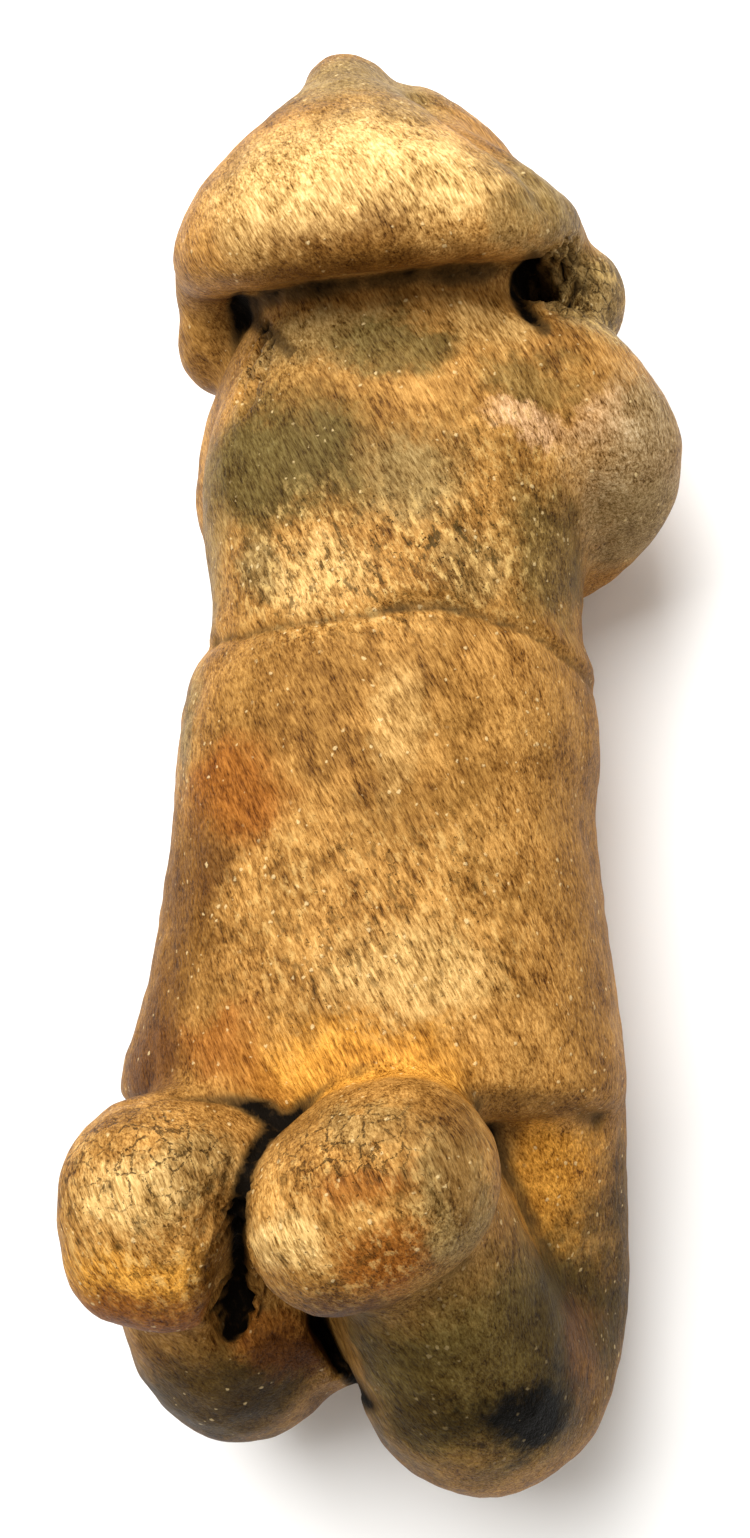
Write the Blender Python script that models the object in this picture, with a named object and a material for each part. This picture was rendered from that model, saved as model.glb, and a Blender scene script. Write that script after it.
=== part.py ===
"""Small solid pottery figure of a person with the legs folded back, lying on its front.

One piece of hand-modelled, burnished and fired clay.
The back faces up (+Z), the head points along +Y and the figure's own right side is +X.
Every form is given in parts of the figure's length, so the figure keeps its proportions at any size.
"""
import math

import bmesh
import bpy
import numpy as np
from mathutils import Euler, Matrix, Vector

# Driving sizes, in metres
LENGTH = 0.160            # from the knees to the peak of the head-dress
WEAR_DEPTH = 0.0006       # how much is worn flat where brow, hands and knees touch a table
SKIN_STEP = 0.00085       # spacing at which the joined masses are skinned over
HAND_MARK_HEIGHT = 0.0007  # how far the surface wanders where hands pressed it
HAND_MARK_SPREAD = 0.016   # size of one pressed patch

# The forms below are written in shares of the length: one part is 1/160 of it
PART = LENGTH / 160.0
RING_POINTS = 56          # points around every modelled mass
RUN_STEPS = 8             # rings between two neighbouring stations
DOME_STEPS = 6            # rings in the domed end of a limb
LUMP_SIDES = 40           # points around a pressed-on ball of clay
LUMP_RINGS = 24           # and from end to end
SOFTENING = 5             # passes that round the creases between the masses
SOFTENING_SHARE = 0.5     # how far each pass moves a point towards its neighbours
SKIN_TRIANGLES = 9400     # triangles left in the finished skin
HEAD_MIDDLE = 22.0        # height of the middle of the head
FACE_KEPT_FROM = 43.0     # the face lies past this place along the body
FACE_KEPT_BELOW = 9.0     # and below this height
FACE_THINNING = 0.35      # how readily its triangles are given up, beside 1 elsewhere

# Trunk stations from the legs to the neck: place along the body, sideways, height of the middle,
# half width, half thickness
TRUNK = (
    (-41.4, -3.4, 20.0, 20.0, 15.0),
    (-41.0, -3.4, 21.2, 26.0, 19.0),
    (-39.0, -3.2, 22.0, 27.6, 20.6),
    (-35.0, -2.8, 22.1, 26.8, 21.1),
    (-29.0, -2.2, 21.9, 25.6, 21.2),
    (-22.0, -1.9, 21.5, 24.5, 21.0),
    (-15.0, -1.8, 21.3, 23.6, 21.0),
    (-9.0, -1.8, 21.0, 23.2, 21.0),
    (-3.0, -1.6, 20.9, 23.7, 20.9),
    (3.0, -1.3, 20.9, 23.2, 20.4),
    (6.8, -0.8, 21.4, 22.4, 19.4),
    (8.6, -0.3, 21.8, 21.5, 18.3),
    (9.8, 0.1, 22.1, 19.5, 15.9),
    (11.0, 0.1, 22.5, 21.0, 17.4),
    (13.6, 0.1, 22.6, 20.8, 17.0),
    (20.0, -0.1, 22.8, 21.6, 16.6),
    (27.0, 0.0, 22.8, 22.6, 17.2),
    (34.0, 0.0, 22.8, 21.6, 16.8),
    (40.0, 0.0, 22.8, 19.0, 15.4),
    (46.0, 0.0, 22.6, 17.2, 14.2),
    (58.0, 0.0, 22.0, 16.0, 14.0),
)
TRUNK_SQUARENESS = 2.3

# Head-dress shell over the back of the head, in the same five measures
SHELL = (
    (53.8, 0.0, 28.0, 14.0, 12.0),
    (53.6, 0.0, 28.4, 20.0, 15.6),
    (55.4, -0.3, 29.0, 23.0, 17.4),
    (58.6, -0.9, 29.2, 23.3, 18.0),
    (62.0, -2.0, 29.2, 20.8, 17.4),
    (65.4, -2.9, 28.8, 17.5, 15.6),
    (68.8, -3.4, 28.2, 13.2, 13.4),
    (71.8, -3.7, 27.4, 9.0, 11.0),
    (74.6, -4.1, 26.6, 6.1, 8.8),
    (77.4, -4.8, 26.2, 5.4, 6.6),
    (79.4, -5.2, 26.0, 3.8, 4.4),
    (80.2, -5.4, 26.0, 1.2, 1.4),
)
SHELL_SQUARENESS = 2.2
SHELL_SLANT = 0.42        # the rim hangs lower over the nape than at the sides

# Face and front of the head-dress, in the same five measures
FACE_BLOCK = (
    (44.2, 0.0, 16.5, 5.0, 6.0),
    (46.0, 0.0, 16.5, 11.5, 11.0),
    (50.0, 0.0, 17.0, 17.0, 13.4),
    (55.0, 0.0, 17.2, 19.4, 14.0),
    (59.5, -0.1, 17.4, 19.8, 14.8),
    (64.0, -0.1, 17.8, 16.9, 15.8),
    (68.0, 0.8, 18.4, 13.2, 15.4),
    (71.6, 1.8, 19.2, 9.0, 13.0),
    (75.0, 1.9, 20.2, 5.0, 8.2),
    (77.0, 1.6, 20.8, 2.0, 3.6),
)
FACE_SQUARENESS = 2.5


def flowing(knots, steps):
    """Smooth curve through every knot (Catmull-Rom), with the given number of steps between knots."""
    knots = np.asarray(knots, float)
    padded = np.vstack([2 * knots[0] - knots[1], knots, 2 * knots[-1] - knots[-2]])
    t = np.linspace(0.0, 1.0, steps, endpoint=False)[:, None]
    runs = []
    for before, start, end, after in zip(padded, padded[1:], padded[2:], padded[3:]):
        line = 2 * start + (end - before) * t
        bend = (2 * before - 5 * start + 4 * end - after) * t**2
        twist = (3 * start - before - 3 * end + after) * t**3
        runs.append(0.5 * (line + bend + twist))
    runs.append(knots[-1:])
    return np.vstack(runs)


def add_rings(bm, rings):
    """Close a stack of rings into a skin with a pole at each end."""
    rows = [[bm.verts.new(point * PART) for point in ring] for ring in rings]
    for low, high in zip(rows, rows[1:]):
        for i in range(len(low)):
            j = (i + 1) % len(low)
            bm.faces.new((low[i], low[j], high[j], high[i]))
    for row, ring, turn in ((rows[0], rings[0], -1), (rows[-1], rings[-1], 1)):
        pole = bm.verts.new(ring.mean(axis=0) * PART)
        for i in range(len(row)):
            j = (i + 1) % len(row)
            bm.faces.new((row[i], row[j], pole)[::turn])


def add_loft(bm, stations, squareness, slant=0.0):
    """Mass along the body: one squared oval ring for each step, leaning back by the slant."""
    table = flowing(stations, RUN_STEPS)
    turn = np.linspace(0.0, 2 * math.pi, RING_POINTS, endpoint=False)
    across = np.sign(np.cos(turn)) * np.abs(np.cos(turn)) ** (2 / squareness)
    upward = np.sign(np.sin(turn)) * np.abs(np.sin(turn)) ** (2 / squareness)
    first, last = table[0, 0], table[-1, 0]
    rings = []
    for along, side, height, width, thickness in table:
        fade = 1.0 - max(0.0, (along - first) / (last - first))
        x = side + width * across
        z = height + thickness * upward
        y = along - slant * fade * (z - HEAD_MIDDLE)
        rings.append(np.column_stack([x, y, z]))
    add_rings(bm, rings[::-1])


def add_limb(bm, knots, across, tallness=1.0):
    """Oval mass along a bent path with domed ends; each knot is a place and the radius across."""
    table = flowing(knots, RUN_STEPS)
    path, radius = table[:, :3], table[:, 3]
    tangent = np.gradient(path, axis=0)
    tangent /= np.linalg.norm(tangent, axis=1)[:, None]
    dome = np.linspace(math.radians(80), 0.0, DOME_STEPS, endpoint=False)
    places = list(zip(path, tangent, radius))
    for angle in dome[::-1]:
        reach = radius[-1] * math.sin(angle)
        places.append((path[-1] + tangent[-1] * reach, tangent[-1], radius[-1] * math.cos(angle)))
        reach = radius[0] * math.sin(angle)
        places.insert(0, (path[0] - tangent[0] * reach, tangent[0], radius[0] * math.cos(angle)))
    turn = np.linspace(0.0, 2 * math.pi, RING_POINTS, endpoint=False)[:, None]
    rings = []
    for centre, ahead, size in places:
        side = np.array(across) - ahead * np.dot(across, ahead)
        side /= np.linalg.norm(side)
        rise = np.cross(ahead, side)
        rings.append(centre + size * (np.cos(turn) * side + tallness * np.sin(turn) * rise))
    add_rings(bm, rings)


def add_lump(bm, centre, radii, turn=(0.0, 0.0, 0.0), squareness=2.0):
    """Pressed-on ball of clay with three radii, turned by three angles in degrees, squared up or round."""
    ball = bmesh.ops.create_uvsphere(bm, u_segments=LUMP_SIDES, v_segments=LUMP_RINGS, radius=1.0)["verts"]
    for vert in ball:
        vert.co /= sum(abs(c) ** squareness for c in vert.co) ** (1 / squareness)
    spin = Euler([math.radians(a) for a in turn]).to_matrix().to_4x4()
    size = Matrix.Diagonal((*[r * PART for r in radii], 1.0))
    place = Matrix.Translation(Vector(centre) * PART) @ spin @ size
    bmesh.ops.transform(bm, matrix=place, verts=ball)


def add_face(bm):
    """Calm, plain face: brow band of the head-dress, lidded eyes, straight nose, closed lips, chin."""
    add_limb(bm, ((-18.0, 62.6, 11.0, 2.4), (-11.0, 65.8, 5.2, 3.0), (0.2, 67.0, 3.3, 3.3),
                  (11.4, 66.0, 5.2, 3.0), (18.0, 62.8, 11.0, 2.4)), (0, 1, 0))
    for side in (-1, 1):
        add_lump(bm, (side * 7.2, 59.4, 3.6), (4.7, 2.4, 2.2), (0, 0, side * -6))
        add_limb(bm, ((side * 2.4, 61.6, 3.6, 1.0), (side * 6.8, 62.9, 3.2, 1.2),
                      (side * 12.0, 61.4, 4.6, 0.9)), (0, 1, 0))
        add_lump(bm, (side * 2.5, 54.6, 3.4), (1.9, 1.9, 2.0))
    add_limb(bm, ((0.0, 61.8, 4.0, 1.6), (0.0, 58.0, 3.0, 1.9), (0.0, 55.2, 2.7, 2.4)), (1, 0, 0))
    add_limb(bm, ((-5.2, 50.8, 5.0, 0.9), (0.0, 51.6, 3.4, 1.4), (5.2, 50.8, 5.0, 0.9)), (0, 1, 0))
    add_limb(bm, ((-4.0, 49.4, 5.0, 0.9), (0.0, 48.8, 3.8, 1.5), (4.0, 49.4, 5.0, 0.9)), (0, 1, 0))
    add_lump(bm, (0.0, 45.8, 6.4), (5.0, 2.8, 3.2))


def add_head(bm):
    """Head-dress shell over the back of the head, face block below it, and an ear lump on each side."""
    add_loft(bm, SHELL, SHELL_SQUARENESS, SHELL_SLANT)
    add_loft(bm, FACE_BLOCK, FACE_SQUARENESS)
    for side in (-1, 1):
        add_lump(bm, (side * 20.6 - 0.8, 49.8, 20.0), (6.8, 6.6, 7.4), (0, 0, side * -18))
    add_lump(bm, (-20.4, 54.6, 25.0), (6.2, 5.4, 8.0))
    add_face(bm)


def add_arms(bm):
    """Upper arms against the ribs, elbows out, forearms round to hands that rest on the belly."""
    add_limb(bm, ((12.0, 41.0, 25.0, 8.4), (18.6, 37.6, 24.0, 8.8), (22.6, 30.8, 20.5, 9.6),
                  (20.4, 26.6, 13.0, 8.0), (13.5, 22.6, 7.2, 6.0), (8.6, 20.4, 5.6, 4.8)), (0, 1, 0))
    add_limb(bm, ((-12.0, 41.0, 24.0, 8.5), (-15.4, 36.0, 20.5, 8.8), (-17.6, 29.0, 15.4, 9.2),
                  (-16.4, 22.6, 11.0, 7.6), (-11.5, 17.4, 7.0, 5.8), (-7.2, 14.8, 5.4, 4.7)), (0, 1, 0))
    add_lump(bm, (4.6, 19.6, 4.7), (6.0, 5.0, 4.8), (0, 0, 20), 2.3)
    add_lump(bm, (-3.4, 12.6, 4.7), (6.0, 4.8, 4.8), (0, 0, 28), 2.3)


def add_legs(bm):
    """Thighs to the knees, lower legs folded back over them, clay between, feet against the hem."""
    add_limb(bm, ((9.0, -34.0, 19.0, 14.5), (9.5, -50.0, 15.4, 13.8), (9.4, -61.0, 13.5, 13.5),
                  (8.7, -66.6, 18.5, 13.2), (8.1, -65.2, 26.0, 11.9), (6.7, -58.5, 31.5, 10.6),
                  (4.6, -51.0, 36.5, 9.8)), (1, 0, 0))
    add_limb(bm, ((-17.0, -34.0, 19.0, 14.0), (-18.6, -50.0, 14.8, 13.0), (-18.5, -60.0, 12.4, 12.0),
                  (-17.9, -65.2, 19.5, 11.3), (-17.5, -62.4, 27.0, 10.4), (-17.9, -57.0, 32.0, 9.7),
                  (-18.4, -52.0, 36.0, 8.8)), (1, 0, 0))
    add_lump(bm, (-6.0, -54.6, 18.0), (7.4, 15.8, 15.0))
    add_lump(bm, (-8.0, -43.6, 32.0), (15.0, 7.0, 9.0))
    add_lump(bm, (3.4, -47.6, 46.0), (12.6, 9.4, 10.0), (20, 0, 30), 2.2)
    add_lump(bm, (-18.3, -49.9, 43.4), (9.4, 10.8, 9.4), (20, 0, -4), 2.7)
    add_lump(bm, (-13.6, -45.2, 42.6), (7.4, 5.6, 8.6), (20, 0, -24), 2.4)


def scene_object(name, fill):
    """New object whose mesh the given function fills."""
    bm = bmesh.new()
    fill(bm)
    mesh = bpy.data.meshes.new(name)
    bm.to_mesh(mesh)
    bm.free()
    obj = bpy.data.objects.new(name, mesh)
    bpy.context.scene.collection.objects.link(obj)
    return obj


def add_masses(bm):
    """All masses pushed together, still overlapping."""
    add_loft(bm, TRUNK, TRUNK_SQUARENESS)
    add_head(bm)
    add_arms(bm)
    add_legs(bm)


def add_pits(bm):
    """Deep pits below the rim of the head-dress and in front of each ear, and the slit between the feet."""
    add_lump(bm, (16.9, 48.8, 26.0), (1.9, 2.9, 6.0), (-12, 0, 8))
    add_lump(bm, (-18.6, 51.6, 26.5), (1.1, 2.4, 6.0), (-12, 0, 0))
    add_lump(bm, (-18.2, 44.4, 25.0), (1.5, 2.2, 3.4), (0, 0, -10))
    add_limb(bm, ((-5.8, -42.0, 50.0, 0.9), (-8.2, -45.6, 50.0, 1.05), (-8.9, -50.0, 49.5, 0.95),
                  (-9.2, -54.4, 48.5, 1.2), (-9.8, -59.2, 46.0, 2.2)), (1, 0, -0.36), 4.5)


def plain_mesh(obj):
    """The object's mesh with its modifiers worked in; the object itself goes."""
    graph = bpy.context.evaluated_depsgraph_get()
    mesh = bpy.data.meshes.new_from_object(obj.evaluated_get(graph))
    bpy.data.objects.remove(obj)
    return mesh


def skinned():
    """One closed skin over the masses, softened, a little uneven, with the pits cut and skinned again."""
    clay = scene_object("clay_masses", add_masses)
    pits = scene_object("pit_cutters", add_pits)
    pits.hide_render = True
    pits.display_type = 'WIRE'
    skin = clay.modifiers.new("Skin", 'REMESH')
    skin.mode = 'VOXEL'
    skin.voxel_size = SKIN_STEP
    soften = clay.modifiers.new("Soften", 'SMOOTH')
    soften.factor = SOFTENING_SHARE
    soften.iterations = SOFTENING
    hand_marks = bpy.data.textures.new("hand_marks", 'CLOUDS')
    hand_marks.noise_scale = HAND_MARK_SPREAD
    uneven = clay.modifiers.new("Uneven", 'DISPLACE')
    uneven.texture = hand_marks
    uneven.strength = HAND_MARK_HEIGHT
    cut = clay.modifiers.new("Pits", 'BOOLEAN')
    cut.operation = 'DIFFERENCE'
    cut.object = pits
    close = clay.modifiers.new("Close", 'REMESH')
    close.mode = 'VOXEL'
    close.voxel_size = SKIN_STEP
    settle = clay.modifiers.new("Settle", 'SMOOTH')
    settle.factor = SOFTENING_SHARE
    settle.iterations = 1
    mesh = plain_mesh(clay)
    bpy.data.objects.remove(pits)
    return mesh


def thinned(mesh):
    """Fewer triangles, with the face kept finer than broad plain surfaces."""
    obj = bpy.data.objects.new("clay_skin", mesh)
    bpy.context.scene.collection.objects.link(obj)
    spots = np.empty(len(mesh.vertices) * 3)
    mesh.vertices.foreach_get("co", spots)
    spots = spots.reshape(-1, 3) / PART
    on_face = (spots[:, 2] < FACE_KEPT_BELOW) & (spots[:, 1] > FACE_KEPT_FROM)
    group = obj.vertex_groups.new(name="broad_surfaces")
    group.add(np.flatnonzero(~on_face).tolist(), 1.0, 'REPLACE')
    group.add(np.flatnonzero(on_face).tolist(), FACE_THINNING, 'REPLACE')
    mesh.calc_loop_triangles()
    thin = obj.modifiers.new("Thin", 'DECIMATE')
    thin.vertex_group = group.name
    thin.ratio = min(1.0, SKIN_TRIANGLES / len(mesh.loop_triangles))
    return plain_mesh(obj)


def rest_on_table(mesh):
    """Wear the lowest places flat in one plane, and put the middle of the underside at the origin."""
    bm = bmesh.new()
    bm.from_mesh(mesh)
    floor = min(v.co.z for v in bm.verts) + WEAR_DEPTH
    bmesh.ops.bisect_plane(bm, geom=bm.verts[:] + bm.edges[:] + bm.faces[:], plane_co=(0, 0, floor),
                           plane_no=(0, 0, 1), clear_inner=True)
    bmesh.ops.holes_fill(bm, edges=[e for e in bm.edges if e.is_boundary])
    bmesh.ops.triangulate(bm, faces=[f for f in bm.faces if len(f.verts) > 3])
    bmesh.ops.recalc_face_normals(bm, faces=bm.faces)
    spots = np.array([v.co for v in bm.verts])
    middle = (spots.min(axis=0) + spots.max(axis=0)) / 2
    bmesh.ops.translate(bm, verts=bm.verts, vec=(-middle[0], -middle[1], -floor))
    bm.to_mesh(mesh)
    bm.free()


def fired_clay():
    """Burnished orange-brown fired clay."""
    material = bpy.data.materials.new("burnished_clay")
    material.use_nodes = True
    shader = material.node_tree.nodes["Principled BSDF"]
    shader.inputs["Base Color"].default_value = (0.42, 0.22, 0.09, 1.0)
    shader.inputs["Roughness"].default_value = 0.5
    shader.inputs["Metallic"].default_value = 0.0
    return material


def make_figure():
    """The finished figure as one named object."""
    mesh = thinned(skinned())
    mesh.name = "pottery_figure"
    rest_on_table(mesh)
    mesh.materials.clear()
    mesh.materials.append(fired_clay())
    mesh.shade_smooth()
    figure = bpy.data.objects.new("pottery_figure", mesh)
    bpy.context.scene.collection.objects.link(figure)


for old in list(bpy.data.objects):
    bpy.data.objects.remove(old)
make_figure()
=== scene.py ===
"""Looks of a small hand-modelled pottery figure that lies on its front.

One lump of gritty orange clay: its skin was dragged smooth with a pebble while it was leather-hard,
and an open fire left it golden on top, olive and black where smoke reached it.
"""
import math

import bmesh
import bpy
import numpy as np
from mathutils import Matrix, Vector


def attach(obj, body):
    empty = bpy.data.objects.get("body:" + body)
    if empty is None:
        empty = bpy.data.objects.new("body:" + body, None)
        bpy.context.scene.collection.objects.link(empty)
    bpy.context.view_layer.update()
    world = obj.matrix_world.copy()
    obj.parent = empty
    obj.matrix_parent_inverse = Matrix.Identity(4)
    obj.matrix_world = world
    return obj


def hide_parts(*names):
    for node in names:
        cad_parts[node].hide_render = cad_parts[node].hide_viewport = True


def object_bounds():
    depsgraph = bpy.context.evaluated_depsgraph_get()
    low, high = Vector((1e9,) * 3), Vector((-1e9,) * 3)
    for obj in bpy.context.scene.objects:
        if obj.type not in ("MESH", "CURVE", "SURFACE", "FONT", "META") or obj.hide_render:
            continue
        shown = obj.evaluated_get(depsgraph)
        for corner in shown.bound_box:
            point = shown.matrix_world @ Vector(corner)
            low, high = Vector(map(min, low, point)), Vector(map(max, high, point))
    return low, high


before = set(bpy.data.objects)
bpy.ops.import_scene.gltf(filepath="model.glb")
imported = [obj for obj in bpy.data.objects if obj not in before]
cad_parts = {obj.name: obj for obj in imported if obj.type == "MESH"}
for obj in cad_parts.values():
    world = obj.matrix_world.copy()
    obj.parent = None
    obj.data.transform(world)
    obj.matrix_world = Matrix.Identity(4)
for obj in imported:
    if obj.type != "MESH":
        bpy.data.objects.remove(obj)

cad_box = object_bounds()

# The clay lump: a person with the legs folded back, pressed out of one piece of clay and smoothed
# by hand. The solid of the frame is skinned anew with even points, after the narrow slits are cut
# that were left where feet, legs and ears were pressed together.
MM = 0.001
SKIN_STEP = 0.63 * MM
# Each slit: its path, its width and its depth at every point of the path, and the way it leans
FEET_SLIT = (((-5.4, -41.4, 48), (-6.8, -43.0, 48), (-7.9, -44.8, 48), (-8.6, -46.3, 48), (-9.0, -49.0, 48),
              (-9.1, -52.0, 48), (-9.3, -55.0, 47), (-9.9, -58.0, 46), (-10.8, -61.5, 44.5)),
             (0.5, 1.5, 1.5, 1.2, 1.2, 1.5, 2.8, 5.4, 6.4), (3.5, 7, 10, 11, 12, 12, 13, 13, 10),
             (0.36, 0.10, 1.0))
LEG_SLIT = (((-7.3, -59.5, 30), (-6.9, -62.4, 30), (-6.0, -64.6, 29), (-5.2, -66.6, 28), (-4.3, -68.6, 26),
             (-3.4, -70.6, 24)),
            (2.2, 2.6, 2.0, 1.7, 1.8, 1.2), (6, 10, 10, 10, 9, 7), (0.30, 0.18, 1.0))
EAR_SLIT = (((17.0, 50.6, 29), (15.5, 48.4, 30), (15.5, 45.6, 31), (16.6, 42.8, 32), (18.4, 40.8, 32)),
            (1.8, 2.4, 2.2, 1.9, 0.8), (4.5, 5, 4, 3, 2), (0.16, -0.5, 1.0))
NAPE_SLIT = (((-14.8, 47.3, 36), (-16.4, 48.6, 31), (-17.3, 48.4, 27)),
             (0.6, 1.5, 0.9), (2.5, 3.5, 2.5), (0.5, -0.6, 0.3))


def blade(path, widths, depths, lean, around=16):
    """Cutter for a narrow slit: along a path, an oval ring whose long way is the lean and whose
    short way is square to it and to the path; a pole closes each end."""
    path, widths, depths = (np.array(values, float) * MM for values in (path, widths, depths))
    ahead = np.gradient(path, axis=0)
    ahead /= np.linalg.norm(ahead, axis=1)[:, None]
    rise = np.array(lean) / np.linalg.norm(lean)
    side = np.cross(ahead, rise)
    side /= np.linalg.norm(side, axis=1)[:, None]
    turn = np.linspace(0, 2 * np.pi, around, endpoint=False)
    rings = (path[:, None] + np.cos(turn)[None, :, None] * side[:, None] * widths[:, None, None] / 2
             + np.sin(turn)[None, :, None] * rise * depths[:, None, None])
    rows = len(path)
    poles = path[:1] - ahead[:1] * widths[0], path[-1:] + ahead[-1:] * widths[-1]
    points = np.vstack([rings.reshape(-1, 3), *poles])
    grid = np.arange(rows * around).reshape(rows, around)
    quads = np.stack([grid[:-1], np.roll(grid, -1, 1)[:-1], np.roll(grid, -1, 1)[1:], grid[1:]], -1)
    start = np.stack([grid[0], np.full(around, rows * around), np.roll(grid[0], -1)], -1)
    end = np.stack([grid[-1], np.roll(grid[-1], -1), np.full(around, rows * around + 1)], -1)
    mesh = bpy.data.meshes.new("slit_blade")
    mesh.from_pydata(points.tolist(), [], quads.reshape(-1, 4).tolist() + start.tolist() + end.tolist())
    shape = bmesh.new()
    shape.from_mesh(mesh)
    bmesh.ops.recalc_face_normals(shape, faces=shape.faces)
    shape.to_mesh(mesh)
    shape.free()
    return mesh


def linked(name, mesh):
    """New object in the scene that shows the mesh."""
    made = bpy.data.objects.new(name, mesh)
    bpy.context.scene.collection.objects.link(made)
    return made


def worked_in(source):
    """Mesh of an object with its modifiers applied; the object goes."""
    graph = bpy.context.evaluated_depsgraph_get()
    mesh = bpy.data.meshes.new_from_object(source.evaluated_get(graph))
    bpy.data.objects.remove(source)
    return mesh


def even_skin(node):
    """Copy of the solid: joined, rounded, with its slits cut, and skinned at one spacing."""
    joined = bmesh.new()
    joined.from_mesh(node.data)
    bmesh.ops.remove_doubles(joined, verts=joined.verts, dist=0.001 * MM)
    mesh = bpy.data.meshes.new("clay_copy")
    joined.to_mesh(mesh)
    joined.free()
    lump = linked("clay_copy", mesh)
    rounded = lump.modifiers.new("Rounded", 'SUBSURF')
    rounded.levels = rounded.render_levels = 2
    cutters = []
    for slit in (FEET_SLIT, LEG_SLIT, EAR_SLIT, NAPE_SLIT):
        cutters.append(linked("slit_blade", blade(*slit)))
        cut = lump.modifiers.new("Slit", 'BOOLEAN')
        cut.operation = 'DIFFERENCE'
        cut.object = cutters[-1]
    skin = lump.modifiers.new("Skin", 'REMESH')
    skin.mode = 'VOXEL'
    skin.voxel_size = SKIN_STEP
    smooth = lump.modifiers.new("Smooth", 'SMOOTH')
    smooth.factor = 0.5
    smooth.iterations = 3
    mesh = worked_in(lump)
    for cutter in cutters:
        bpy.data.objects.remove(cutter)
    return mesh


clay = even_skin(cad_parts["pottery_figure"])

# Hand-worked relief: folds, creases and pits that the fingers and a pointed stick left, and the
# slight wander of a surface that was pressed and not turned. Lines are points in millimetres.
WAIST_LINE = ((-19.8, 9.4, 20.0), (-19.6, 9.2, 27.0), (-18.1, 8.9, 32.4), (-14.0, 8.3, 36.6),
              (-6.7, 8.4, 39.2), (0.9, 8.8, 39.5), (4.1, 9.5, 38.9), (8.5, 9.5, 38.0), (12.7, 8.4, 36.5),
              (16.7, 7.4, 33.6), (19.2, 5.8, 30.5), (20.8, 4.6, 25.0), (21.4, 4.4, 18.0))
HEM_LINE = ((12.4, -39.6, 39.2), (15.3, -40.2, 37.0), (18.7, -40.4, 34.2), (20.2, -41.2, 30.0),
            (21.4, -42.0, 24.7))
FOOT_LINE = ((-21.5, -40.0, 45.0), (-19.3, -39.6, 44.8), (-15.8, -39.5, 43.4), (-12.0, -39.8, 42.6),
             (-9.0, -40.8, 41.9))
ANKLE_LINE = ((0.7, -58.8, 46.0), (3.9, -58.6, 47.0), (7.0, -57.6, 46.6), (9.7, -56.0, 45.6),
              (11.9, -54.2, 44.0))
HEAD_FOLD = ((5.1, 69.8, 32.4), (9.0, 64.6, 35.5), (12.5, 61.0, 36.6), (16.9, 56.4, 37.4),
             (19.6, 52.4, 37.7))
# Creases pressed in: line, depth and half width
CREASES = ((HEM_LINE, 0.45, 1.5), (FOOT_LINE, 0.5, 0.9), (ANKLE_LINE, 0.55, 1.3), (HEAD_FOLD, 0.7, 1.6))
# The waist line: height and half width of the raised edge, depth and half width of the groove beside it
WAIST_EDGE, WAIST_GROOVE = (0.40, 3.0), (0.32, 0.8)
# Crumbled places: middle, reach, and how deep they crumbled
CRUMBLED = (((-13.6, 39.2, 34.4), (2.2, 5.5, 4.0), 1.5), ((20.5, 47.5, 29.0), (3.6, 4.2, 5.0), 0.9),
            ((-9.3, -51.0, 49.0), (3.0, 9.0, 5.0), 0.45), ((-11.5, -60.0, 40.0), (4.0, 4.0, 6.0), 0.8))
EYE_LINES = tuple(tuple((side * 7.2 - 0.15 + 3.3 * t, 58.0 + 1.1 * t * t, 1.5) for t in (-1, -0.5, 0, 0.5, 1))
                  for side in (-1, 1))
LIP_LINE = ((-4.6, 50.2, 3.0), (-2.2, 49.9, 2.4), (0.0, 50.0, 2.2), (2.2, 49.9, 2.4), (4.4, 50.2, 3.0))
FINGER_LINES = tuple(((x + 4.2, y + 1.2 + 1.6 * k, 2.0), (x - 4.6, y - 1.6 + 1.5 * k, 2.0))
                     for x, y in ((4.2, 18.8), (-3.9, 11.8)) for k in (-1, 0, 1))
# Lines drawn in the underside with a stick: the line, depth and half width
DRAWN = (*((line, 0.45, 0.45) for line in (*EYE_LINES, LIP_LINE)),
         *((line, 0.40, 0.5) for line in FINGER_LINES))
UNDERSIDE_BELOW = 9.0


def from_line(points, line, flat=False):
    """Distance of each point to a bent line: the least over its straight runs, where the nearest
    place on a run is the projection held between its ends. Flat leaves height out."""
    reach = 2 if flat else 3
    knots = np.array(line)[:, :reach]
    near = np.full(len(points), np.inf)
    for a, b in zip(knots, knots[1:]):
        run = b - a
        share = np.clip((points[:, :reach] - a) @ run / (run @ run), 0, 1)
        near = np.minimum(near, np.linalg.norm(points[:, :reach] - a - share[:, None] * run, axis=1))
    return near


def hump(distance, width):
    """One at the middle, falling off as a bell curve of that half width."""
    return np.exp(-(distance / width) ** 2)


def wander(points, spread, seed, waves=14):
    """Slow unevenness between about -1 and 1: a sum of sine waves in random directions, each about
    as long as the spread."""
    dice = np.random.default_rng(seed)
    ways = dice.normal(size=(waves, 3))
    ways /= np.linalg.norm(ways, axis=1)[:, None] * spread * dice.uniform(0.6, 1.6, waves)[:, None]
    return np.sin(points @ ways.T * 2 * np.pi + dice.uniform(0, 6.28, waves)).sum(axis=1) / math.sqrt(waves)


def within(points, middle, reach):
    """One inside the ellipsoid, falling to nothing at 1.3 times its reach."""
    away = np.linalg.norm((points - middle) / reach, axis=1)
    return np.clip((1.3 - away) / 0.6, 0, 1)


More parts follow.
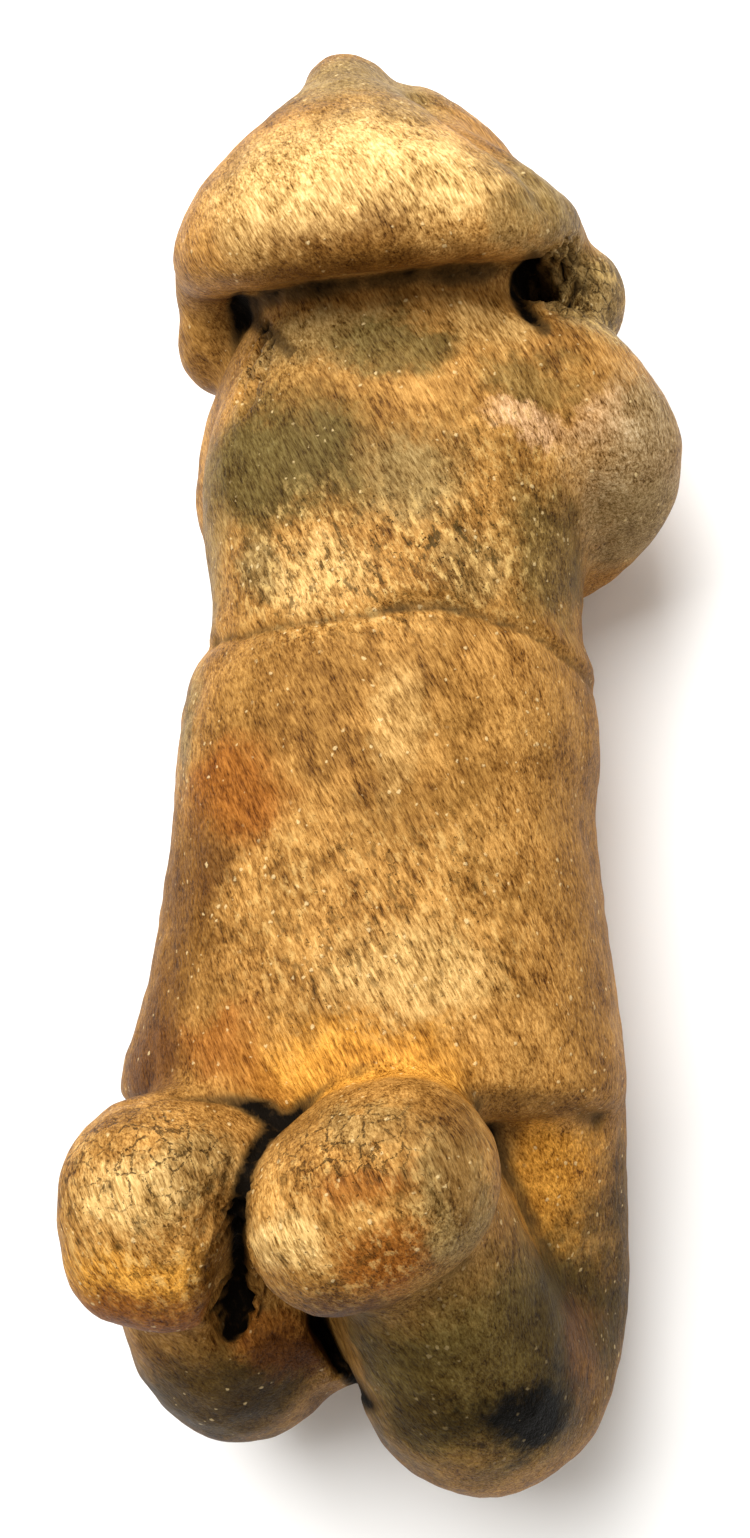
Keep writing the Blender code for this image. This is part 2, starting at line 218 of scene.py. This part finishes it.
def relief(points, normals):
    """How far each point moves out along its normal, in millimetres."""
    rise = 0.10 * wander(points, 9.0, 3) + 0.05 * wander(points, 3.2, 7)
    waist = from_line(points, WAIST_LINE)
    across, along = np.array(WAIST_LINE[2:-1])[:, :2].T
    above = np.clip((points[:, 1] - np.interp(points[:, 0], across, along)) / 0.9, -0.4, 1)
    rise += WAIST_EDGE[0] * hump(waist, WAIST_EDGE[1]) * above
    rise -= WAIST_GROOVE[0] * hump(waist, WAIST_GROOVE[1])
    for line, depth, width in CREASES:
        rise -= depth * hump(from_line(points, line), width)
    crumbs = np.clip(0.5 + wander(points, 1.7, 11), 0, 1.6)
    for middle, reach, depth in CRUMBLED:
        rise -= depth * crumbs * within(points, middle, reach)
    down = np.clip(-normals[:, 2] * 2, 0, 1) * (points[:, 2] < UNDERSIDE_BELOW)
    for line, depth, width in DRAWN:
        rise -= depth * down * hump(from_line(points, line, flat=True), width)
    return rise


def read_rows(layer, key):
    """A mesh layer of three numbers a row as an array."""
    rows = np.empty(len(layer) * 3, np.float32)
    layer.foreach_get(key, rows)
    return rows.reshape(-1, 3).astype(float)


def worked_clay(mesh):
    """Carve the relief into the skin, then press what lies on the table flat again."""
    spots = read_rows(mesh.vertices, "co")
    facing = read_rows(mesh.vertex_normals, "vector")
    moved = spots + facing * relief(spots / MM, facing)[:, None] * MM
    low, high = (np.array(corner) for corner in cad_box)
    mesh.vertices.foreach_set("co", np.clip(moved, low, high).astype(np.float32).ravel())
    mesh.update()
    return mesh


def hollowness(mesh, passes):
    """How far each point lies in a hollow, in millimetres: its place is averaged with its
    neighbours' again and again, and the way it went is measured along its normal."""
    pairs = np.empty(len(mesh.edges) * 2, np.int32)
    mesh.edges.foreach_get("vertices", pairs)
    pairs = pairs.reshape(-1, 2)
    near = np.concatenate([pairs[:, 0], pairs[:, 1]])
    far = np.concatenate([pairs[:, 1], pairs[:, 0]])
    count = np.bincount(near)
    start = read_rows(mesh.vertices, "co") / MM
    place = start
    for _ in range(passes):
        place = np.stack([np.bincount(near, place[far, k]) for k in range(3)], -1) / count[:, None]
    return ((place - start) * read_rows(mesh.vertex_normals, "vector")).sum(axis=1)


def from_slit(points, slit):
    """Distance of each point to the middle sheet of a slit: point and path are both pressed flat
    along the slit's lean."""
    path, lean = np.array(slit[0], float), np.array(slit[3])
    lean = lean / np.linalg.norm(lean)
    return from_line(points - (points @ lean)[:, None] * lean, path - (path @ lean)[:, None] * lean)


# Painted shade along the creases: line, share and half width; and painted shadow in the slits: slit and share
SHADED_CREASES = ((WAIST_LINE, 0.20, 0.7), (HEM_LINE, 0.30, 2.2), (ANKLE_LINE, 0.35, 1.6),
               (FOOT_LINE, 0.15, 1.0))
SHADED_SLITS = ((FEET_SLIT, 1.0), (LEG_SLIT, 1.0), (EAR_SLIT, 0.8), (NAPE_SLIT, 0.7))
# Half width of the painted shadow beside a slit, and how far from the slit's path it can lie
SLIT_EDGE, SLIT_REACH = 0.85, 11


def add_hollow_shade(mesh):
    """Share of painted shade at each point: darker in narrow and wide hollows, along creases and in slits,
    where shade falls.
    """
    points = read_rows(mesh.vertices, "co") / MM
    hollow_shade = 0.6 * np.clip(hollowness(mesh, 6) / 0.35 - 0.15, 0, 1)
    hollow_shade += np.clip(hollowness(mesh, 60) / 1.7 - 0.35, 0, 1.2)
    for line, share, width in SHADED_CREASES:
        hollow_shade += share * hump(from_line(points, line), width)
    for slit, share in SHADED_SLITS:
        hollow_shade += share * hump(from_slit(points, slit), SLIT_EDGE) * (from_line(points, slit[0]) < SLIT_REACH)
    layer = mesh.attributes.new("hollow_shade", 'FLOAT', 'POINT')
    layer.data.foreach_set("value", np.clip(hollow_shade, 0, 1).astype(np.float32))


figure = linked("pottery_figure_clay", worked_clay(clay))
figure.data.name = "pottery_figure_clay"
figure.data.shade_smooth()
add_hollow_shade(figure.data)
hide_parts("pottery_figure")
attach(figure, "root")


# Burnished and fired clay: orange body, a skin dragged in one slanting direction with a pebble,
# pale grit, small pits, clouds of golden, red, olive and black from an open fire, and painted shade.
class Socket:
    """One output of a node; sums, differences, products and powers of it add their own Math nodes."""

    def __init__(self, tree, output):
        self.tree, self.output = tree, output

    def node(self, kind, settings=None, sockets=None, output=0):
        """New node of that type: its settings first, then the values or links of its sockets."""
        new = self.tree.nodes.new(kind)
        for key, value in (settings or {}).items():
            setattr(new, key, value)
        for key, value in (sockets or {}).items():
            if isinstance(value, Socket):
                self.tree.links.new(value.output, new.inputs[key])
            else:
                new.inputs[key].default_value = value
        return Socket(self.tree, new.outputs[output])

    def maths(self, operation, *others):
        """Math node of that operation on this output and the others."""
        return self.node("ShaderNodeMath", {"operation": operation}, dict(enumerate((self, *others))))

    def __add__(self, other):
        return self.maths("ADD", other)

    def __mul__(self, other):
        return self.maths("MULTIPLY", other)

    def __sub__(self, other):
        return self.maths("SUBTRACT", other)

    def __rsub__(self, other):
        return self.node("ShaderNodeMath", {"operation": "SUBTRACT"}, {0: other, 1: self})

    def __pow__(self, other):
        return self.maths("POWER", other)

    def between(self, low, high):
        """Smooth step: 0 at low, 1 at high, also where high is the lesser."""
        return self.node("ShaderNodeMapRange", {"interpolation_type": 'SMOOTHSTEP'},
                         {0: self, 1: low, 2: high})

    def swing(self, reach):
        """Noise as a push either way from nothing: less a half, times the reach."""
        return (self - 0.5) * reach

    def vector(self, operation, other):
        """Vector Math node on this output and one other value."""
        return self.node("ShaderNodeVectorMath", {"operation": operation}, {0: self, 1: other})

    def swings(self, reach):
        """Coloured noise as a push in three directions: less a half, times the reach."""
        return self.vector("SUBTRACT", (0.5,) * 3).vector("MULTIPLY", (reach,) * 3)

    def length(self):
        """Length of this output as a vector."""
        return self.node("ShaderNodeVectorMath", {"operation": "LENGTH"}, {0: self}, output=1)

    def over(self, under, colour):
        """The colour laid over another one, this output being how much of it shows."""
        return self.node("ShaderNodeMix", {"data_type": 'RGBA'}, {0: self, 6: under, 7: colour}, output=2)

    def noise(self, scale, detail=2.0, roughness=0.5, output=0):
        """Cloudy noise at this place, with that many features to the millimetre."""
        return self.node("ShaderNodeTexNoise", None,
                         {"Vector": self, "Scale": scale, "Detail": detail, "Roughness": roughness}, output)

    def cells(self, scale, output=0):
        """Distance to the nearest grain of a scatter at this place, or as output 1 its own colour."""
        return self.node("ShaderNodeTexVoronoi", None, {"Vector": self, "Scale": scale}, output)


def tone(red, green, blue):
    """Colour as light, from a colour as it is written for a screen."""
    screen = np.array((red, green, blue)) / 255
    return (*np.where(screen <= 0.04045, screen / 12.92, ((screen + 0.055) / 1.055) ** 2.4), 1.0)


GOLD, PALE, OCHRE, ORANGE = tone(188, 148, 86), tone(212, 172, 106), tone(168, 120, 58), tone(198, 136, 50)
UMBER, RUST, MAROON, BROWN = tone(138, 96, 42), tone(136, 80, 26), tone(86, 50, 18), tone(110, 72, 26)
DUN, ASH, BLUSH = tone(130, 106, 62), tone(158, 130, 90), tone(204, 160, 114)
OLIVE, SMOKE, SOOT = tone(88, 72, 34), tone(62, 47, 17), tone(8, 6, 3)
# Clouds of the firing, some of them darkened as painted shade: middle and reach in millimetres, colour, and
# how strongly it took
CLOUDS_AND_SHADE = (
    ((0, 20, 4), (40, 70, 12), OCHRE, 0.8),
    ((0, 56, 4), (22, 16, 10), GOLD, 0.7),
    ((0, -55, 4), (36, 28, 10), BROWN, 0.7),
    ((0, 55, 46), (18, 10, 14), PALE, 0.75),
    ((-1, 72, 36), (13, 8, 13), DUN, 0.85),
    ((-20, 50, 37), (7, 10, 11), OCHRE, 0.85),
    ((-19, 48.5, 31), (5, 3, 4), MAROON, 0.8),
    ((13, 53, 44), (7, 5, 8), PALE, 0.7),
    ((18, 48, 40), (4, 4, 5), DUN, 0.6),
    ((20, 53, 37), (4, 6, 5), OLIVE, 0.45),
    ((4, 65, 41), (6, 5, 5), DUN, 0.5),
    ((20, 57, 34), (8, 12, 9), DUN, 0.85),
    ((13, 65, 34), (6, 7, 6), UMBER, 0.6),
    # Painted shade: a brown band on the lower face of the head's rim, which turns away from the light
    ((-1, 43.2, 45), (25, 5, 6.5), BROWN, 0.9),
    ((-6, 40, 37), (14, 5, 8), DUN, 0.7),
    ((4, 38, 38), (7, 4, 5), OLIVE, 0.8),
    ((12, 41, 35), (5, 3.5, 5), GOLD, 0.6),
    ((-23, 45, 25), (6, 8, 10), UMBER, 0.85),
    ((23, 46, 25), (7, 8, 10), DUN, 0.85),
    ((-10, 27, 37), (15, 9, 11), OLIVE, 0.95),
    ((5, 24, 39), (7, 6, 6), DUN, 0.8),
    ((17, 35, 33), (7, 3.5, 5), OLIVE, 0.6),
    ((17, 30, 34), (6, 3, 5), BLUSH, 0.75),
    ((24, 31, 29), (4, 4, 5), BLUSH, 0.6),
    ((29, 31, 27), (5, 5, 7), DUN, 0.95),
    ((27, 27, 23), (8, 12, 14), ASH, 0.9),
    ((27, 22, 19), (7, 6, 10), DUN, 0.6),
    ((-2, 15, 39), (14, 6.5, 8), OCHRE, 0.8),
    ((-5, 13.5, 40), (8, 5, 6), PALE, 0.55),
    ((-11.5, 15.5, 38), (4, 5, 6), DUN, 0.75),
    ((11, 14.5, 38), (4, 5, 5), DUN, 0.5),
    ((18, 16, 30), (6, 9, 11), OLIVE, 0.75),
    ((-19, 20, 27), (5, 13, 11), DUN, 0.7),
    ((-9, 0, 40), (11, 8, 9), UMBER, 0.8),
    ((3, 2, 41), (9, 5, 6), UMBER, 0.6),
    ((14, 2, 36), (6, 7, 7), OCHRE, 0.7),
    ((4, -3, 41), (2.2, 8, 4), GOLD, 0.5),
    ((-14, -9, 38), (8, 7, 8), RUST, 0.95),
    ((-21, -1, 32), (3, 7, 6), DUN, 0.8),
    ((-19, -22, 36), (7, 15, 9), BROWN, 0.9),
    ((-16, -17, 38), (4, 4, 5), MAROON, 0.6),
    ((5, -24, 42), (13, 11, 7), OCHRE, 0.8),
    ((6, -28, 42), (9, 6, 6), GOLD, 0.8),
    ((1, -37, 42), (14, 5, 6), ORANGE, 0.85),
    ((-13, -34, 39), (6, 4, 6), RUST, 0.8),
    ((-9, -37.5, 42.5), (4, 3, 4), RUST, 0.6),
    ((22, -16, 28), (6, 28, 11), UMBER, 0.7),
    ((-22, -37, 35), (7, 9, 9), MAROON, 0.9),
    ((-17, -48, 51), (9, 9, 7), OCHRE, 0.9),
    ((-14, -45, 50), (7, 4, 6), DUN, 0.6),
    ((-19, -47, 53), (6, 4, 5), PALE, 0.6),
    ((-18, -56, 50), (9, 4, 6), ORANGE, 0.8),
    ((-17, -59.5, 48), (12, 3.2, 5), RUST, 0.95),
    ((-11.5, -56.5, 48), (2.6, 5, 5), BROWN, 0.85),
    ((2, -47, 54), (11, 9, 7), OCHRE, 0.85),
    ((3, -40.5, 53), (9, 2.0, 5), DUN, 0.5),
    ((-3, -51.5, 54), (5, 3.2, 5), PALE, 0.75),
    ((3, -57.5, 50.5), (9, 1.8, 4), MAROON, 0.8),
    ((6, -53, 53), (4.5, 3.2, 5), RUST, 0.95),
    ((5, -46, 55), (5, 3, 4), RUST, 0.8),
    ((12, -48, 50), (5, 9, 8), DUN, 0.85),
    ((13, -46, 52), (3, 5, 4), BROWN, 0.6),
    ((11, -40, 50), (5, 4, 6), BROWN, 0.7),
    # Smoke clouds on the knees and lower legs, also made darker as painted shade where they turn away from
    # the light
    ((10, -64, 34), (17, 15, 17), OLIVE, 0.95),
    ((20, -63, 27), (11, 12, 14), SMOKE, 0.95),
    ((8, -70, 36), (10, 4, 7), SMOKE, 0.9),
    ((7, -64, 39), (7, 4, 5), SMOKE, 0.6),
    ((20, -64, 26), (4, 6, 6), MAROON, 0.7),
    ((-18, -69, 30), (11, 9, 16), SMOKE, 0.9),
    ((14, -69, 33), (6.5, 4.5, 7), SOOT, 1.0),
    ((21, -68, 25), (4, 6, 7), UMBER, 0.4),
    ((-2, -62, 34), (3, 8, 10), UMBER, 0.6),
    ((-10, -63, 34), (4.5, 3.5, 6), RUST, 0.8),
    ((-9, -65.5, 32), (4, 4, 7), MAROON, 1.0),
    ((-13.5, -69.5, 33), (4.5, 4, 5), SOOT, 0.4),
    ((16, -47, 27), (5, 8, 8), ORANGE, 0.9),
    ((24, -57, 18), (5, 15, 12), SMOKE, 0.8),
)
# Where the skin is scuffed, pitted and mottled: middle and reach in millimetres, and how much
SCUFFS = (
    ((-2, 15, 39), (18, 10, 10), 0.8),
    ((14, 22, 34), (9, 16, 9), 0.5),
    ((2, -22, 42), (20, 13, 10), 0.5),
    ((-17, -50, 50), (10, 10, 8), 0.6),
    ((2, -50, 54), (12, 10, 8), 0.5),
    ((23, 46, 25), (7, 8, 10), 0.7),
)
# Where fine drying cracks show, and where smoke hid the grit
CRACKED = (((2, -42, 53), (10, 4, 6)), ((-17, -44, 50), (10, 5, 6)), ((-13, 40, 34), (4, 6, 5)),
           ((22, 47, 28), (5, 6, 8)))
SMOKED = ((10, -66, 34), (20, 15, 18))
GRIT_TONE, PIT_TONE, FLAKE_TONE = tone(238, 208, 150), tone(60, 40, 16), tone(226, 188, 116)
# Tones of the painted shade in hollows and creases, and of the deeper painted shadow in the slits
CREASE_SHADE_TONE, DEEP_SHADE_TONE = tone(74, 54, 26), tone(14, 9, 4)
STREAK_TURN = math.radians(28)
# How far each noise sways the lightness of the clay, and the least lightness left
BLOOM_SWAY, MOTTLE_SWAY, STROKE_SWAY, HAIR_SWAY, LEAST_LIGHT = 1.7, 1.0, 2.6, 1.9, 0.15
# Powers by which green and blue fall off sooner than red where the clay is darker
GREEN_FADE, BLUE_FADE = 1.2, 1.6
# Grains of grit and plates between cracks, to the millimetre
GRIT_CELLS, CRACK_CELLS = 1.1, 0.5
SHEEN, BARE_ROUGHNESS = 0.05, 0.46


def burnished_clay():
    """Fired clay with its clouds, burnishing strokes, grit, pits and fine cracks, and painted shade in
    hollows, creases and slits.
    """
    material = bpy.data.materials.new("burnished_clay")
    material.use_nodes = True
    tree = material.node_tree
    shader = tree.nodes["Principled BSDF"]
    metres = Socket(tree, tree.nodes.new("ShaderNodeTexCoord").outputs["Object"])
    place = metres.vector("MULTIPLY", (1 / MM,) * 3)
    stray = place.noise(0.11, 2.0, output=1).swings(9)
    frayed = place.noise(0.8, 3.0, 0.7, output=1).swings(5)
    loose = place.vector("ADD", stray).vector("ADD", frayed)
    turned = place.node("ShaderNodeMapping", None, {"Vector": place, "Rotation": (0, 0, -STREAK_TURN)})
    along = turned.vector("MULTIPLY", (1.0, 0.16, 1.0))

    def inside(middle, reach, full=0.5):
        """One inside that share of the ellipsoid, fading to nothing a little past its frayed edge."""
        return loose.vector("SUBTRACT", middle).vector("DIVIDE", reach).length().between(1.2, full)

    colour = place.noise(0.16, 3.0, 0.6).between(0.35, 0.65).over(OCHRE, UMBER)
    for middle, reach, shade, strength in CLOUDS_AND_SHADE:
        colour = (inside(middle, reach, 0.45) * strength).over(colour, shade)
    scuffed = 0.0
    for middle, reach, strength in SCUFFS:
        scuffed = inside(middle, reach) * strength + scuffed
    cracked = 0.0
    for middle, reach in CRACKED:
        cracked = inside(middle, reach) + cracked

    bloom = turned.vector("MULTIPLY", (1.0, 0.6, 1.0)).noise(0.30, 4.0, 0.6)
    mottle = turned.vector("MULTIPLY", (1.0, 0.48, 1.0)).noise(1.05, 4.0, 0.7)
    strokes = along.noise(3.0, 3.0, 0.65)
    hairs = along.noise(6.5, 2.0, 0.6)
    light = bloom.swing(BLOOM_SWAY) + mottle.swing(MOTTLE_SWAY) + strokes.swing(STROKE_SWAY)
    light = (light + hairs.swing(HAIR_SWAY) + 1.0).maths("MAXIMUM", LEAST_LIGHT)
    warm = light.node("ShaderNodeCombineColor", None,
                      {0: light, 1: light ** GREEN_FADE, 2: light ** BLUE_FADE})
    colour = place.node("ShaderNodeMix", {"data_type": 'RGBA', "blend_type": 'MULTIPLY'},
                        {0: 1.0, 6: colour, 7: warm}, output=2)
    colour = (mottle.between(0.52, 0.66) * scuffed * 0.75).over(colour, FLAKE_TONE)
    colour = (mottle.between(0.47, 0.36) * scuffed * 0.85).over(colour, SMOKE)

    grain = frayed.vector("MULTIPLY", (0.16,) * 3).vector("ADD", place)
    own_tone = grain.cells(GRIT_CELLS, output=1)
    picked = grain.node("ShaderNodeSeparateColor", None, {0: own_tone})
    wide = picked.node("ShaderNodeSeparateColor", None, {0: own_tone}, output=1)
    gritty = place.noise(0.22, 2.0).between(0.40, 0.60)
    grit = (grain.cells(GRIT_CELLS) + wide * 0.18).between(0.34, 0.18)
    grit = grit * (picked + gritty * 0.25).between(0.86, 0.94)
    colour = (grit * (0.55 - inside(*SMOKED, 0.7) * 0.38)).over(colour, GRIT_TONE)

    worn = place.noise(1.9, 3.0, 0.75)
    pits = worn.between(0.37, 0.30) * (scuffed + 0.2)
    colour = (pits * 0.8).over(colour, PIT_TONE)
    edges = grain.node("ShaderNodeTexVoronoi", {"feature": 'DISTANCE_TO_EDGE'},
                       {"Vector": grain, "Scale": CRACK_CELLS})
    cracks = edges.between(0.06, 0.02) * cracked * worn.between(0.46, 0.56)
    colour = (cracks * 0.8).over(colour, PIT_TONE)
    # Painted shade: the clay is darkened in hollows and creases where shade falls, and near black deep in the
    # slits; the same share also roughens the skin.
    hollow_shade = place.node("ShaderNodeAttribute", {"attribute_name": "hollow_shade"}, output=2)
    shade_share = hollow_shade + mottle.swing(0.8) * hollow_shade
    colour = (shade_share.between(0.08, 0.65) * 0.85).over(colour, CREASE_SHADE_TONE)
    colour = shade_share.between(0.55, 1.0).over(colour, DEEP_SHADE_TONE)

    height = strokes.swing(0.12) + hairs.swing(0.07) + mottle.swing(0.22)
    height = height + grit * 0.05 - pits * 0.16 - cracks * 0.12
    bump = height.node("ShaderNodeBump", None, {"Height": height, "Strength": 1.0, "Distance": MM})
    rough = mottle.swing(0.35) + pits * 0.3 + shade_share * 0.3 + BARE_ROUGHNESS
    shader.inputs["Specular IOR Level"].default_value = SHEEN
    tree.links.new(colour.output, shader.inputs["Base Color"])
    tree.links.new(rough.output, shader.inputs["Roughness"])
    tree.links.new(bump.output, shader.inputs["Normal"])
    return material


figure.data.materials.clear()
figure.data.materials.append(burnished_clay())

# The table and its light: a plain pale surface under soft studio light, strongest from behind the
# head and the figure's left, so that rim, knees and right flank fall into shade.
TABLE_HALF = 3.0
KEY_PLACE, KEY_SIZE, KEY_POWER = (-0.11, 0.38, 0.70), 0.65, 11.4
FILL_PLACE, FILL_SIZE, FILL_POWER = (0.50, 0.05, 0.50), 0.60, 0.8
SKY_TINT, SKY_STRENGTH = (1.0, 0.95, 0.88, 1), 0.36
PAPER_TONE, PAPER_ROUGHNESS = (0.94, 0.94, 0.93, 1), 0.8
LIT_MIDDLE = Vector((0, 0, 0.02))


def pale_table():
    """One square on the ground, finished in matt off-white."""
    corners = [(-TABLE_HALF, -TABLE_HALF, 0), (TABLE_HALF, -TABLE_HALF, 0), (TABLE_HALF, TABLE_HALF, 0),
               (-TABLE_HALF, TABLE_HALF, 0)]
    mesh = bpy.data.meshes.new("table")
    mesh.from_pydata(corners, [], [(0, 1, 2, 3)])
    paper = bpy.data.materials.new("pale_table")
    paper.use_nodes = True
    shader = paper.node_tree.nodes["Principled BSDF"]
    shader.inputs["Base Color"].default_value = PAPER_TONE
    shader.inputs["Roughness"].default_value = PAPER_ROUGHNESS
    mesh.materials.append(paper)
    return linked("table", mesh)


def soft_light(name, place, size, power):
    """Square light of that size that faces the figure."""
    lamp = bpy.data.lights.new(name, 'AREA')
    lamp.size, lamp.energy = size, power
    holder = bpy.data.objects.new(name, lamp)
    bpy.context.scene.collection.objects.link(holder)
    holder.location = place
    holder.rotation_euler = (LIT_MIDDLE - Vector(place)).to_track_quat('-Z', 'Y').to_euler()


pale_table()
soft_light("key", KEY_PLACE, KEY_SIZE, KEY_POWER)
soft_light("fill", FILL_PLACE, FILL_SIZE, FILL_POWER)
sky = bpy.data.worlds.new("sky")
sky.use_nodes = True
sky.node_tree.nodes["Background"].inputs["Color"].default_value = SKY_TINT
sky.node_tree.nodes["Background"].inputs["Strength"].default_value = SKY_STRENGTH
bpy.context.scene.world = sky
bpy.context.scene.view_settings.view_transform = 'Standard'

# The camera: close above the hem on the figure's right, looking down past the feet to the head.
CAMERA_PLACE = Vector((41.63, -33.27, 186.63)) * MM
LOOK_LEFT, LOOK_UP = math.radians(15.2), math.radians(10.0)
FOCAL_PIXELS, PHOTO_HEIGHT, SENSOR = 1550, 1538, 36

ahead = Vector((-math.tan(LOOK_LEFT), math.tan(LOOK_UP), -1)).normalized()
across = ahead.cross(Vector((0, 1, 0))).normalized()
upward = across.cross(ahead)
camera = bpy.data.objects.new("camera", bpy.data.cameras.new("camera"))
bpy.context.scene.collection.objects.link(camera)
turned = Matrix((across, upward, -ahead)).transposed().to_4x4()
camera.matrix_world = Matrix.Translation(CAMERA_PLACE) @ turned
camera.data.sensor_fit = 'AUTO'
camera.data.sensor_width = SENSOR
camera.data.lens = FOCAL_PIXELS / PHOTO_HEIGHT * SENSOR
camera.data.clip_start = 5 * MM
bpy.context.scene.camera = camera
